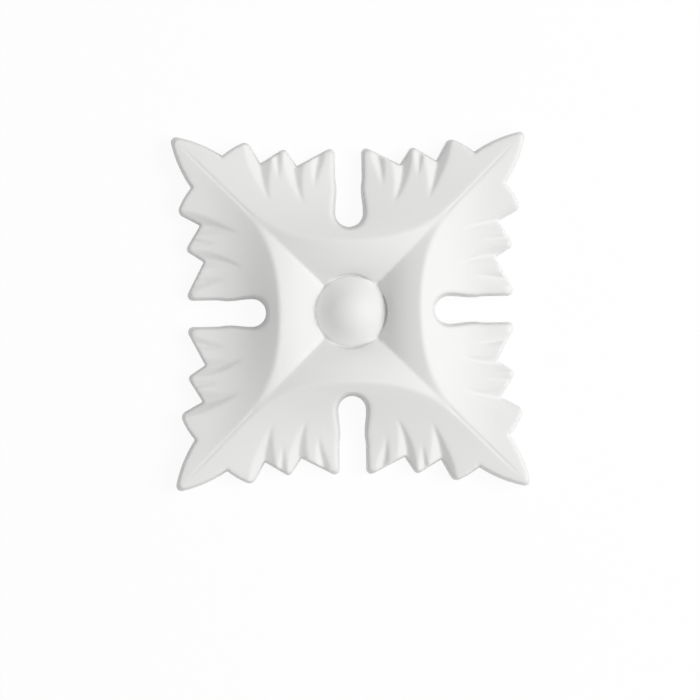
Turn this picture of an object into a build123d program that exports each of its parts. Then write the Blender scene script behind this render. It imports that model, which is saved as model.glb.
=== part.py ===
from build123d import *
import os
from math import asin, cos, degrees, hypot, radians, sin, sqrt, tan

# Flower applique: a square rosette moulded in one piece, 100 mm across its corner leaves.
# It lies flat on its back, with the front towards +Z and the centre of the back at the origin.
# The ornament repeats eight times: one eighth is modelled between the X axis and the corner,
# with X outward along the side and Y sideways, then mirrored and turned about the centre.
# All sizes are in millimetres and degrees.

# Whole piece
HALF_SPAN = 50.0          # centre to the outermost line of the corner leaves
DRAFT = 4.5               # lean of the edge walls, so that the piece leaves its mould

# Crest: the highest line, where the bowl meets the outside flank, as it crosses the X axis
CREST_X = 19.8
CREST_Z = 14.7

# Outside flank and blade, as a profile along the slot and a flatter one at the corner
SLOT_FLANK_ANGLE = 33.9
SLOT_COVE_X = 26.5        # where the flank starts to ease out
SLOT_COVE_RADIUS = 25.8
SLOT_BRIM_ANGLE = 1.3
CORNER_SHOULDER_Z = 14.2
CORNER_FLANK_ANGLE = 11.7
CORNER_COVE_X = 33.6
CORNER_COVE_RADIUS = 73.0
CORNER_BRIM_ANGLE = 2.4

# Bowl facet: two arcs in section, swung about an axis far below so that it falls sideways
FACET_OUTER_RADIUS = 36.8
FACET_INNER_RADIUS = 18.1
FACET_CREST_ANGLE = 12.5
FACET_MID_ANGLE = 17.0
FACET_FOOT_ANGLE = 42.0
FACET_SWING_RADIUS = 79.8

# Where the bowl's corner valley narrows into the leaf's vein, along X or Y
MERGE = 27.0

# Button: a dome with a straight side, in a pocket whose steep wall leaves a groove round it
DOME_TOP_Z = 11.85
DOME_RADIUS = 11.7
DOME_SIDE_ANGLE = 29.0
POCKET_RADIUS = 9.75      # where its wall meets the dome's side
POCKET_WALL_ANGLE = 17.0  # lean of the wall from upright

# Slot between two leaves
SLOT_END_X = 23.9
SLOT_END_RADIUS = 3.88
SLOT_WAIST = (34.7, 3.38)
SLOT_BELLY = (37.8, 3.68)

# Lobes of the leaf, from the slot to the corner: the sharp corners before rounding
PEAKS = [(46.95, 3.68), (46.45, 17.9), (48.6, 28.3)]
PEAK_RADII = [1.5, 1.3, 2.0]
NOTCHES = [(41.3, 14.55), (42.2, 24.85), (44.55, 35.55)]
LOBE_BULGE = 0.4          # how far the third lobe's long side bows out
TIP_CORNER = 50.38
TIP_BULGE = 0.88
TIP_RADIUS = 1.5

# Flutes: each starts at nothing, bends a little and runs out over the edge
FLUTE_NEAR_ANGLE = 25.6   # flank on the slot's side
FLUTE_FAR_ANGLE = 36.5    # flank on the corner's side
FLUTES = [
    # start, bend, end, depth at the bend, depth at the end
    ((29.6, 12.3), (36.2, 14.75), (47.5, 14.9), 1.0, 1.8),
    ((30.8, 22.2), (38.2, 24.4), (49.0, 25.4), 1.25, 2.6),
    ((34.6, 9.6), (38.5, 9.3), (46.5, 7.6), 0.6, 1.15),
    ((36.5, 19.5), (40.2, 19.8), (47.5, 20.4), 0.5, 1.0),
]

# Vein: the fine groove along the corner leaf
VEIN_ANGLE = 13.5
VEIN = [(25.6, 0.5), (27.6, 0.45), (30.0, 0.26), (33.5, 0.2), (38.0, 0.18), (41.5, 0.15), (45.0, 0.0)]

# Construction
GROOVE_TOP = 5.0          # how far the grooves' cutters stand up
BLANK_CLEARANCE = 0.3     # the blank stands this much above the crest
CORNER_Y = HALF_SPAN + 1.0
REACH = HALF_SPAN + 4.0
PROFILE_STEPS = 14        # the same distances in both profiles, so that the blade is ruled along Y


class Profile:
    """A straight flank from the crest's distance, a cove and a straight brim."""

    def __init__(self, start_z, flank_angle, cove_x, cove_radius, brim_angle):
        self.start_z = start_z
        self.flank = radians(flank_angle)
        self.brim = radians(brim_angle)
        self.cove_x = cove_x
        self.cove_radius = cove_radius
        self.centre_x = cove_x + cove_radius * sin(self.flank)
        self.centre_z = self.flank_z(cove_x) + cove_radius * cos(self.flank)
        self.brim_x = self.centre_x - cove_radius * sin(self.brim)

    def flank_z(self, x):
        return self.start_z - (x - CREST_X) * tan(self.flank)

    def height(self, x):
        if x < self.cove_x:
            return self.flank_z(x)
        if x < self.brim_x:
            return self.centre_z - sqrt(self.cove_radius**2 - (x - self.centre_x) ** 2)
        brim_z = self.centre_z - self.cove_radius * cos(self.brim)
        return brim_z - (x - self.brim_x) * tan(self.brim)


slot_profile = Profile(
    CREST_Z, SLOT_FLANK_ANGLE, SLOT_COVE_X, SLOT_COVE_RADIUS, SLOT_BRIM_ANGLE
)
corner_profile = Profile(
    CORNER_SHOULDER_Z, CORNER_FLANK_ANGLE, CORNER_COVE_X, CORNER_COVE_RADIUS, CORNER_BRIM_ANGLE
)
def blade_height(x, y):
    """Height of the uncarved blade, which is straight between its two profiles."""
    slot_z = slot_profile.height(x)
    return slot_z + (corner_profile.height(x) - slot_z) * y / CORNER_Y


def profile_sketch(y, profile):
    """The solid side of a profile, standing at the distance y."""
    stations = [REACH * i / PROFILE_STEPS for i in range(PROFILE_STEPS + 1)]
    points = [Vector(x, profile.height(x)) for x in stations]
    with BuildSketch(Plane.XZ.offset(-y)) as sketch:
        with BuildLine():
            add(Edge.make_spline(points, parameters=stations))
            Polyline(points[-1], (REACH, 0), (0, 0), points[0])
        make_face()
    return sketch


FACET_AXIS_DEPTH = FACET_SWING_RADIUS - CREST_Z
CROWN_X = CREST_X + FACET_OUTER_RADIUS * sin(radians(FACET_CREST_ANGLE))
CROWN_Z = CREST_Z + FACET_OUTER_RADIUS * (1 - cos(radians(FACET_CREST_ANGLE)))


def groove_sketch(plane, near_angle, far_angle):
    """A V with its point at the plane's origin, open upward."""
    near_x = -GROOVE_TOP / tan(radians(near_angle))
    far_x = GROOVE_TOP / tan(radians(far_angle))
    with BuildSketch(plane) as sketch:
        with BuildLine():
            Polyline((0, 0), (far_x, GROOVE_TOP), (near_x, GROOVE_TOP), close=True)
        make_face()
    return sketch


def ease(start, end):
    """Two equal arcs from one stretch along X to the next, a little to its side."""
    middle = (start + end) / 2
    first = TangentArc(start, middle, tangent=(1, 0))
    TangentArc(middle, end, tangent=first % 1)


# One eighth of the relief, from the slot's middle to the corner
with BuildPart() as eighth:
    slot_side = profile_sketch(0, slot_profile)
    corner_side = profile_sketch(CORNER_Y, corner_profile)
    loft([slot_side.sketch, corner_side.sketch], ruled=True)
    with BuildSketch():
        Polygon((0, 0), (REACH, 0), (REACH, REACH), align=None)
    extrude(amount=REACH, mode=Mode.INTERSECT)

    # Bowl facet
    with BuildSketch(Plane.XZ):
        with BuildLine():
            outer = JernArc((CROWN_X, CROWN_Z), (-1, 0), FACET_OUTER_RADIUS, FACET_MID_ANGLE)
            turn = FACET_FOOT_ANGLE - FACET_MID_ANGLE
            inner = JernArc(outer @ 1, outer % 1, FACET_INNER_RADIUS, turn)
            foot_z = (inner @ 1).Y - (inner @ 1).X * tan(radians(FACET_FOOT_ANGLE))
            Polyline(inner @ 1, (0, foot_z), (0, REACH), (REACH, REACH), (REACH, CROWN_Z), outer @ 0)
        make_face()
    swing_axis = Axis((0, 0, -FACET_AXIS_DEPTH), (-1, 0, 0))
    swing = degrees(asin(MERGE / (CROWN_Z + FACET_AXIS_DEPTH)))
    revolve(axis=swing_axis, revolution_arc=swing, mode=Mode.SUBTRACT)

    # Vein, which carries the valley on along the leaf
    vein_sections = []
    for reach, depth in VEIN:
        bottom = blade_height(reach, reach) - depth
        plane = Plane((reach, reach, bottom), x_dir=(1, -1, 0), z_dir=(-1, -1, 0))
        vein_sections.append(groove_sketch(plane, VEIN_ANGLE, VEIN_ANGLE).sketch)
    loft(vein_sections, ruled=True, mode=Mode.SUBTRACT)

    # Flutes
    for start, bend, end, bend_depth, end_depth in FLUTES:
        flute_sections = []
        for (x, y), depth in ((start, 0), (bend, bend_depth), (end, end_depth)):
            plane = Plane((x, y, blade_height(x, y) - depth), x_dir=(0, 1, 0), z_dir=(1, 0, 0))
            flute_sections.append(groove_sketch(plane, FLUTE_NEAR_ANGLE, FLUTE_FAR_ANGLE).sketch)
        loft(flute_sections, mode=Mode.SUBTRACT)

# Outline of one eighth
with BuildSketch() as eighth_outline:
    with BuildLine():
        end_centre = (SLOT_END_X + SLOT_END_RADIUS, 0)
        slot_end = CenterArc(end_centre, SLOT_END_RADIUS, 180, -90)
        ease(slot_end @ 1, Vector(SLOT_WAIST))
        ease(Vector(SLOT_WAIST), Vector(SLOT_BELLY))
        Polyline(SLOT_BELLY, PEAKS[0], NOTCHES[0], PEAKS[1], NOTCHES[1], PEAKS[2])
        SagittaArc(PEAKS[2], NOTCHES[2], -LOBE_BULGE)
        SagittaArc(NOTCHES[2], (TIP_CORNER, TIP_CORNER), -TIP_BULGE)
        Polyline((TIP_CORNER, TIP_CORNER), (0, 0), slot_end @ 0)
    make_face()
    fillet(eighth_outline.vertices().sort_by_distance(PEAKS[2])[0], PEAK_RADII[2])


def rising_edges(part, corner):
    """The edges that rise from this corner of the outline, in all eighths."""
    uprights = part.edges().filter_by(lambda edge: abs(edge.tangent_at(0.5).Z) > 0.9)
    feet = [(edge, min(edge @ 0, edge @ 1, key=lambda end: end.Z)) for edge in uprights]
    return [edge for edge, foot in feet if abs(hypot(foot.X, foot.Y) - hypot(*corner)) < 0.01]


# The whole applique
with BuildPart() as flower_applique:
    with BuildSketch() as outline:
        with PolarLocations(0, 4):
            add(eighth_outline.sketch)
            add(mirror(eighth_outline.sketch, about=Plane.XZ, mode=Mode.PRIVATE))
    extrude(amount=CREST_Z + BLANK_CLEARANCE)
    walls = flower_applique.faces().filter_by(lambda f: abs(f.normal_at().Z) < 0.5)
    draft(walls, Plane.XY, DRAFT)
    fillet(rising_edges(flower_applique, PEAKS[0]), PEAK_RADII[0])
    fillet(rising_edges(flower_applique, PEAKS[1]), PEAK_RADII[1])
    fillet(rising_edges(flower_applique, (TIP_CORNER, TIP_CORNER)), TIP_RADIUS)
    quarter = Part() + eighth.part + mirror(eighth.part, about=Plane.XZ, mode=Mode.PRIVATE)
    relief = Part() + [Rot(0, 0, 90 * i) * quarter for i in range(4)]
    add(relief, mode=Mode.INTERSECT)

    # Pocket, then the button that fills its middle
    side = tan(radians(DOME_SIDE_ANGLE))
    wall = tan(radians(POCKET_WALL_ANGLE))
    cap = JernArc((0, DOME_TOP_Z), (1, 0), DOME_RADIUS, -DOME_SIDE_ANGLE, mode=Mode.PRIVATE)
    rim_z = (cap @ 1).Y - (POCKET_RADIUS - (cap @ 1).X) * side
    with BuildSketch(Plane.XZ):
        with BuildLine():
            mouth = (POCKET_RADIUS + (REACH - rim_z) * wall, REACH)
            Polyline((0, rim_z), (POCKET_RADIUS, rim_z), mouth, (0, REACH), close=True)
        make_face()
    revolve(axis=Axis.Z, mode=Mode.SUBTRACT)
    with BuildSketch(Plane.XZ):
        with BuildLine():
            add(cap)
            Polyline(cap @ 1, ((cap @ 1).X + (cap @ 1).Y / side, 0), (0, 0), cap @ 0)
        make_face()
    revolve(axis=Axis.Z)

flower_applique.part.label = "flower_applique"
os.makedirs("parts", exist_ok=True)
export_step(flower_applique.part, "parts/flower_applique.step")
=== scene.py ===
import math

import bpy
import numpy as np
from mathutils import Euler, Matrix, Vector


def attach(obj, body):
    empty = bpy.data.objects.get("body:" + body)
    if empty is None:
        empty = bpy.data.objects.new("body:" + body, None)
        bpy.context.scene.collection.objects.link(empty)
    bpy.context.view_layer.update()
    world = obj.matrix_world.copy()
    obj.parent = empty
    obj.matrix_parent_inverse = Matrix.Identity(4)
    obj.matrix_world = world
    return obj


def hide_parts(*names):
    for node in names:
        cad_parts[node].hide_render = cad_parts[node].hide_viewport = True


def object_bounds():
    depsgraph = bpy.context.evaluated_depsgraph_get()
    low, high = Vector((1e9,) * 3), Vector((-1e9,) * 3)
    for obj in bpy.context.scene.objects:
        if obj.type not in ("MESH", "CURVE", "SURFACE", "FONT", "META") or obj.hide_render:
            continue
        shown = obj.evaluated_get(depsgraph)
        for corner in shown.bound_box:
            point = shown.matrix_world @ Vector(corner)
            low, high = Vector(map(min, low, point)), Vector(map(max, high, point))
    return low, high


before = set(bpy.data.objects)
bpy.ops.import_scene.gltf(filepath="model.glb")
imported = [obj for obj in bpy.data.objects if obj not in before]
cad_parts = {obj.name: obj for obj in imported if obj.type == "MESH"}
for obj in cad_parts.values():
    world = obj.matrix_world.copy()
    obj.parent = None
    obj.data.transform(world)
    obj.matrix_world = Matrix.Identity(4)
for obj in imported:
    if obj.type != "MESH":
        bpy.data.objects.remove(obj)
cad_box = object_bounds()

# A moulded square flower applique, lying on its back on a white table. It is seen from straight
# above and lit by one broad, soft lamp on its right and an even sky. All lengths are in metres.

# Camera, from the photograph's framing
IMAGE_SIZE = 700                     # pixels, the photograph is square
CENTRE_PIXEL = (350.57, 311.45)      # where the middle of the button falls
SPAN_PIXELS = 354.2                  # the square over the corner leaves
TURN = math.radians(0.912)           # the piece is turned a little to the left
CAMERA_DISTANCE = 1.6                # above the floor

# Light
LAMP_LEAN = math.radians(40)         # from straight above towards the right
LAMP_TURN = math.radians(3)          # from the piece's X axis
LAMP_DISTANCE = 1.0
LAMP_SIZE = 0.7
LAMP_POWER = 7.55
SKY_STRENGTH = 0.465

# Table
TABLE_SIZE = 4.0
TABLE_GREY = 0.9
TABLE_WHITE_SHARE = 0.92             # shows as plain white; the rest is lit and takes the shadow

# Finish: a matte white primer
PRIMER_COLOUR = (0.775, 0.775, 0.768)
PRIMER_SPECULAR = 0.35
PRIMER_ROUGHNESS = (0.50, 0.63)
CLOUD_SCALE, CLOUD_DETAIL = 60.0, 3.0
CLOUD_RANGE = (0.3, 0.7)             # of the noise, from the darker tone to the full colour
CLOUD_TONE = 0.985                   # the darker tone's share of the colour
GRAIN_SCALE, GRAIN_DETAIL = 2500.0, 2.0
GRAIN_STRENGTH = 0.08
GRAIN_HEIGHT = 0.0001

# Skin: the solid's own form on an even grid, so that its edges can be softened
SKIN_VOXEL = 0.00025
SKIN_TRIANGLES = 150000
WELD_DISTANCE = 1e-6
FRONT_Z = (0.0005, 0.002)            # the outline stays sharp below, all is soft above

# The slots' round ends, which are cleared down to the back
SLOT_END_X = 0.0239                  # at the back
SLOT_END_RADIUS = 0.00388
SLOT_END_SIDES = 96
WALL_DRAFT = math.radians(4.5)

# Softened edges. A pair of lengths is where the smoothing starts and where it is full.
SMOOTHING_FACTOR = 0.5
WEIGHT_STEPS = 10
FRONT_PASSES = 18                    # round the edges off by about half a millimetre
LOBE_PASSES = 10                     # more over the fluted lobes
LOBE_START = (0.029, 0.030)
LOBE_CLEARANCE = (0.002, 0.003)      # from the vein, as the difference of X and Y
BANK_PASSES = 60                     # more along the slots, whose banks roll over
BANK_START = (0.0225, 0.0235)
BANK_SIDE = (0.0068, 0.0058)         # from a slot's middle
CREST_PASSES = 50                    # more along the crest, which is blunt
CREST_REACH = 0.0198                 # the crest as it crosses an axis
CREST_BOW = 8.5                      # its bow outward, times the square of the way along it
CREST_HALF_WIDTH = 0.0012
BUTTON_SHARPNESS = 0.9               # the share of the smoothing that the button's edge is spared
BUTTON_EDGE_SPAN = (0.0088, 0.0093, 0.0109, 0.0114)     # radii, as for the veins

# Veins
VEIN_SPAN = (0.0265, 0.029, 0.0435, 0.0482)     # along X or Y: starts, is full, fades, has gone
VEIN_DEPTH = 0.00012
VEIN_HALF_WIDTH = 0.00038

# Button, by radii
DOME_STEEPENING = 0.09               # added to the slope of the button's side
DOME_ROUND, DOME_EDGE = 0.0055, 0.0099          # where the round top ends, and the side
POCKET_GROWTH = 0.0004               # outward, where the pocket has a wall
POCKET_REACH = 0.0014
WALL_CORNER_POWER = 8                # how near the valleys the pocket's wall keeps its height
CENTRE_RADIUS = 0.0003               # so that nothing is divided by zero
FOOT_TRIM = (0.0095, 0.0109)         # beyond it the button's foot is trimmed to the facets
FACET_INNER, FACET_OUTER = 0.0118, 0.0165
VALLEY_HALF_WIDTH = 0.0015
GROOVE_RADIUS = 0.0102
GROOVE_DEPTH = 0.0008
GROOVE_HALF_WIDTH = 0.0003
GROOVE_CORNER_SHARE = 0.1            # of its depth where it crosses the valleys


def node_tree(material):
    material.use_nodes = True
    tree = material.node_tree
    tree.nodes.clear()
    return tree


def noise_node(tree, place, scale, detail):
    noise = tree.nodes.new("ShaderNodeTexNoise")
    noise.inputs["Scale"].default_value = scale
    noise.inputs["Detail"].default_value = detail
    tree.links.new(place.outputs["Object"], noise.inputs["Vector"])
    return noise


def primer_material():
    """Matte primer with faint clouding, uneven roughness and the fine grain of a sprayed skin."""
    material = bpy.data.materials.new("white_primer")
    tree = node_tree(material)
    nodes, links = tree.nodes, tree.links
    output = nodes.new("ShaderNodeOutputMaterial")
    shader = nodes.new("ShaderNodeBsdfPrincipled")
    shader.inputs["Specular IOR Level"].default_value = PRIMER_SPECULAR
    links.new(shader.outputs["BSDF"], output.inputs["Surface"])

    place = nodes.new("ShaderNodeTexCoord")
    clouds = noise_node(tree, place, CLOUD_SCALE, CLOUD_DETAIL)
    tint = nodes.new("ShaderNodeValToRGB")
    low, high = tint.color_ramp.elements
    low.position, high.position = CLOUD_RANGE
    low.color = (*(channel * CLOUD_TONE for channel in PRIMER_COLOUR), 1)
    high.color = (*PRIMER_COLOUR, 1)
    links.new(clouds.outputs["Fac"], tint.inputs["Fac"])
    links.new(tint.outputs["Color"], shader.inputs["Base Color"])

    sheen = nodes.new("ShaderNodeMapRange")
    sheen.inputs["To Min"].default_value, sheen.inputs["To Max"].default_value = PRIMER_ROUGHNESS
    links.new(clouds.outputs["Fac"], sheen.inputs["Value"])
    links.new(sheen.outputs["Result"], shader.inputs["Roughness"])

    grain = noise_node(tree, place, GRAIN_SCALE, GRAIN_DETAIL)
    bump = nodes.new("ShaderNodeBump")
    bump.inputs["Strength"].default_value = GRAIN_STRENGTH
    bump.inputs["Distance"].default_value = GRAIN_HEIGHT
    links.new(grain.outputs["Fac"], bump.inputs["Height"])
    links.new(bump.outputs["Normal"], shader.inputs["Normal"])
    return material


def apply_modifiers(piece):
    """Put what the piece's modifiers make in place of its mesh."""
    graph = bpy.context.evaluated_depsgraph_get()
    made = bpy.data.meshes.new_from_object(piece.evaluated_get(graph))
    piece.modifiers.clear()
    piece.data = made


def get_points(piece):
    points = np.empty(len(piece.data.vertices) * 3)
    piece.data.vertices.foreach_get("co", points)
    return points.reshape(-1, 3)


def set_points(piece, points):
    piece.data.vertices.foreach_set("co", points.ravel())


def folded(points):
    """Each point in the half quarter that repeats: out along its axis, and to the side of it."""
    x, y = np.abs(points[:, 0]), np.abs(points[:, 1])
    return np.maximum(x, y), np.minimum(x, y)


def ramp(values, start, end):
    """From 0 at the start to 1 at the end, easing in and out."""
    share = np.clip((values - start) / (end - start), 0, 1)
    return share * share * (3 - 2 * share)


def plateau(values, start, full, fade, end):
    """1 from full to fade, and 0 before the start and after the end."""
    return ramp(values, start, full) * (1 - ramp(values, fade, end))


def bell(values, centre, half_width):
    return np.exp(-(((values - centre) / half_width) ** 2))


def slot_end_cutter(turn):
    """The clear round end of one slot, leaning outward with the draft of its walls."""
    depth = cad_box[1][2] - cad_box[0][2]
    reach = SLOT_END_X + SLOT_END_RADIUS
    bpy.ops.mesh.primitive_cone_add(
        vertices=SLOT_END_SIDES,
        radius1=SLOT_END_RADIUS,
        radius2=SLOT_END_RADIUS + depth * math.tan(WALL_DRAFT),
        depth=depth,
        location=(reach * math.cos(turn), reach * math.sin(turn), depth / 2),
    )
    return bpy.context.object


def make_even_grid(piece):
    """Clear the slots' ends, and remake the mesh as a fine, even grid."""
    weld = piece.modifiers.new("weld", "WELD")
    weld.merge_threshold = WELD_DISTANCE
    cutters = [slot_end_cutter(quarter * math.pi / 2) for quarter in range(4)]
    for cutter in cutters:
        clear = piece.modifiers.new("clear_slot", "BOOLEAN")
        clear.operation = "DIFFERENCE"
        clear.object = cutter
    grid = piece.modifiers.new("grid", "REMESH")
    grid.mode = "VOXEL"
    grid.voxel_size = SKIN_VOXEL
    apply_modifiers(piece)
    for cutter in cutters:
        bpy.data.objects.remove(cutter)


def smooth_where(piece, name, weights, passes):
    """Smooth the piece's mesh as far as each vertex's weight says."""
    group = piece.vertex_groups.new(name=name)
    steps = np.rint(weights * WEIGHT_STEPS)
    for step in range(1, WEIGHT_STEPS + 1):
        group.add(np.flatnonzero(steps == step).tolist(), step / WEIGHT_STEPS, "REPLACE")
    smooth = piece.modifiers.new(name, "SMOOTH")
    smooth.vertex_group = name
    smooth.factor = SMOOTHING_FACTOR
    smooth.iterations = passes


def soften_edges(piece):
    """Round off the edges of the front: most at the slots and crest, least round the button."""
    points = get_points(piece)
    front = ramp(points[:, 2], *FRONT_Z)
    out, side = folded(points)
    sharp = BUTTON_SHARPNESS * plateau(np.hypot(out, side), *BUTTON_EDGE_SPAN)
    lobes = ramp(out, *LOBE_START) * ramp(out - side, *LOBE_CLEARANCE)
    banks = ramp(out, *BANK_START) * ramp(side, *BANK_SIDE)
    crest = bell(out, CREST_REACH + CREST_BOW * side**2, CREST_HALF_WIDTH)
    smooth_where(piece, "front", front * (1 - sharp), FRONT_PASSES)
    smooth_where(piece, "lobes", front * lobes, LOBE_PASSES)
    smooth_where(piece, "banks", front * banks, BANK_PASSES)
    smooth_where(piece, "crest", front * crest, CREST_PASSES)
    apply_modifiers(piece)
    piece.vertex_groups.clear()


def carve_veins(points, front):
    """The fine line along each corner leaf."""
    out, side = folded(points)
    vein = bell((out - side) / math.sqrt(2), 0, VEIN_HALF_WIDTH)
    vein *= plateau((out + side) / 2, *VEIN_SPAN)
    points[:, 2] -= front * vein * VEIN_DEPTH


def facet_heights(points):
    """The bowl's facets carried on inward under the button, by a fit to their middle part."""
    out, side = folded(points)
    z = points[:, 2]
    terms = np.stack([np.ones_like(out), out, out**2, side**2, side**2 * out], axis=1)
    fitted = (np.hypot(out, side) > FACET_INNER) & (out < FACET_OUTER) & (z > FRONT_Z[1])
    fitted &= out - side > VALLEY_HALF_WIDTH
    shares = np.linalg.lstsq(terms[fitted], z[fitted], rcond=None)[0]
    return terms @ shares


def shape_button(points, front):
    """A wider pocket, a steeper button with a round foot, and the thin groove round it."""
    out, side = folded(points)
    radius = np.hypot(out, side)
    walled = 1 - np.sin(2 * np.arctan2(side, out)) ** WALL_CORNER_POWER     # 0 on the diagonals
    growth = front * walled * bell(radius, GROOVE_RADIUS, POCKET_REACH) * POCKET_GROWTH
    points[:, :2] *= (1 + growth / np.maximum(radius, CENTRE_RADIUS))[:, None]

    radius = np.hypot(*folded(points))
    lift = np.where(
        radius < DOME_ROUND,
        DOME_EDGE - DOME_ROUND / 2 - radius**2 / (2 * DOME_ROUND),
        np.maximum(DOME_EDGE - radius, 0),
    )
    points[:, 2] += front * lift * DOME_STEEPENING

    foot = front * ramp(radius, *FOOT_TRIM) * (radius < FACET_INNER)
    points[:, 2] -= foot * np.maximum(points[:, 2] - facet_heights(points), 0)

    groove = bell(radius, GROOVE_RADIUS, GROOVE_HALF_WIDTH)
    groove *= GROOVE_CORNER_SHARE + (1 - GROOVE_CORNER_SHARE) * walled
    points[:, 2] -= front * groove * GROOVE_DEPTH


def soft_skin(solid):
    """The solid's skin, softened and finely carved, with its slots' ends clear."""
    piece = bpy.data.objects.new("moulded_skin", solid.data.copy())
    bpy.context.scene.collection.objects.link(piece)
    piece.matrix_world = solid.matrix_world.copy()
    make_even_grid(piece)
    soften_edges(piece)

    points = get_points(piece)
    front = ramp(points[:, 2], *FRONT_Z)
    carve_veins(points, front)
    shape_button(points, front)
    set_points(piece, points)

    thin = piece.modifiers.new("thin", "DECIMATE")
    thin.ratio = min(1.0, SKIN_TRIANGLES / (2 * len(piece.data.polygons)))
    apply_modifiers(piece)

    points = get_points(piece)
    points[:, 2] = np.maximum(points[:, 2], cad_box[0][2])    # the back stays on the table
    set_points(piece, points)
    piece.data.materials.clear()
    piece.data.shade_smooth()
    return piece


def larger(tree, first, second):
    node = tree.nodes.new("ShaderNodeMath")
    node.operation = "MAXIMUM"
    tree.links.new(first, node.inputs[0])
    tree.links.new(second, node.inputs[1])
    return node.outputs["Value"]


def background_fac(tree):
    """1 for the rays that show the background: the camera's, gloss's and clear things'."""
    path = tree.nodes.new("ShaderNodeLightPath")
    seen = larger(tree, path.outputs["Is Camera Ray"], path.outputs["Is Glossy Ray"])
    return larger(tree, seen, path.outputs["Is Transmission Ray"])


def table_material():
    """A white table: it shows as white, and a share of it is lit, so that the shadow stays."""
    material = bpy.data.materials.new("white_table")
    tree = node_tree(material)
    nodes, links = tree.nodes, tree.links
    output = nodes.new("ShaderNodeOutputMaterial")
    lit = nodes.new("ShaderNodeBsdfDiffuse")
    lit.inputs["Color"].default_value = (TABLE_GREY, TABLE_GREY, TABLE_GREY, 1)
    glow = nodes.new("ShaderNodeEmission")
    glow.inputs["Color"].default_value = (1, 1, 1, 1)
    glow.inputs["Strength"].default_value = 1.0
    share = nodes.new("ShaderNodeMath")
    share.operation = "MULTIPLY"
    share.inputs[1].default_value = TABLE_WHITE_SHARE
    links.new(background_fac(tree), share.inputs[0])
    mix = nodes.new("ShaderNodeMixShader")
    links.new(share.outputs["Value"], mix.inputs["Fac"])
    links.new(lit.outputs["BSDF"], mix.inputs[1])
    links.new(glow.outputs["Emission"], mix.inputs[2])
    links.new(mix.outputs["Shader"], output.inputs["Surface"])
    return material


def add_table():
    bpy.ops.mesh.primitive_plane_add(size=TABLE_SIZE, location=(0, 0, cad_box[0][2]))
    floor = bpy.context.object
    floor.name = "table"
    floor.data.materials.append(table_material())


def light_scene():
    """An even sky, shown white behind the piece, and one softbox."""
    world = bpy.data.worlds.new("studio")
    bpy.context.scene.world = world
    world.use_nodes = True
    tree = world.node_tree
    background = tree.nodes["Background"]
    background.inputs["Color"].default_value = (1, 1, 1, 1)
    strength = tree.nodes.new("ShaderNodeMapRange")
    strength.inputs["To Min"].default_value = SKY_STRENGTH
    strength.inputs["To Max"].default_value = 1.0
    tree.links.new(background_fac(tree), strength.inputs["Value"])
    tree.links.new(strength.outputs["Result"], background.inputs["Strength"])

    lamp = bpy.data.lights.new("softbox", "AREA")
    lamp.shape = "SQUARE"
    lamp.size = LAMP_SIZE
    lamp.energy = LAMP_POWER
    softbox = bpy.data.objects.new("softbox", lamp)
    bpy.context.scene.collection.objects.link(softbox)
    softbox.rotation_euler = Euler((0, LAMP_LEAN, LAMP_TURN), "XYZ")
    softbox.location = softbox.rotation_euler.to_matrix() @ Vector((0, 0, LAMP_DISTANCE))


def add_camera():
    low, high = cad_box
    span = high[0] - low[0]
    metres_per_pixel = span / SPAN_PIXELS
    camera = bpy.data.cameras.new("camera")
    camera.sensor_fit = "HORIZONTAL"
    camera.angle = 2 * math.atan(metres_per_pixel * IMAGE_SIZE / 2 / CAMERA_DISTANCE)
    view = bpy.data.objects.new("camera", camera)
    bpy.context.scene.collection.objects.link(view)
    bpy.context.scene.camera = view
    view.rotation_euler = Euler((0, 0, -TURN))
    right = (IMAGE_SIZE / 2 - CENTRE_PIXEL[0]) * metres_per_pixel
    up = (CENTRE_PIXEL[1] - IMAGE_SIZE / 2) * metres_per_pixel
    view.location = view.rotation_euler.to_matrix() @ Vector((right, up, CAMERA_DISTANCE))


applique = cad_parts["flower_applique"]
skin = soft_skin(applique)
skin.data.materials.append(primer_material())
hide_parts("flower_applique")
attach(skin, "root")
add_table()
light_scene()
add_camera()
bpy.context.scene.view_settings.view_transform = "Standard"
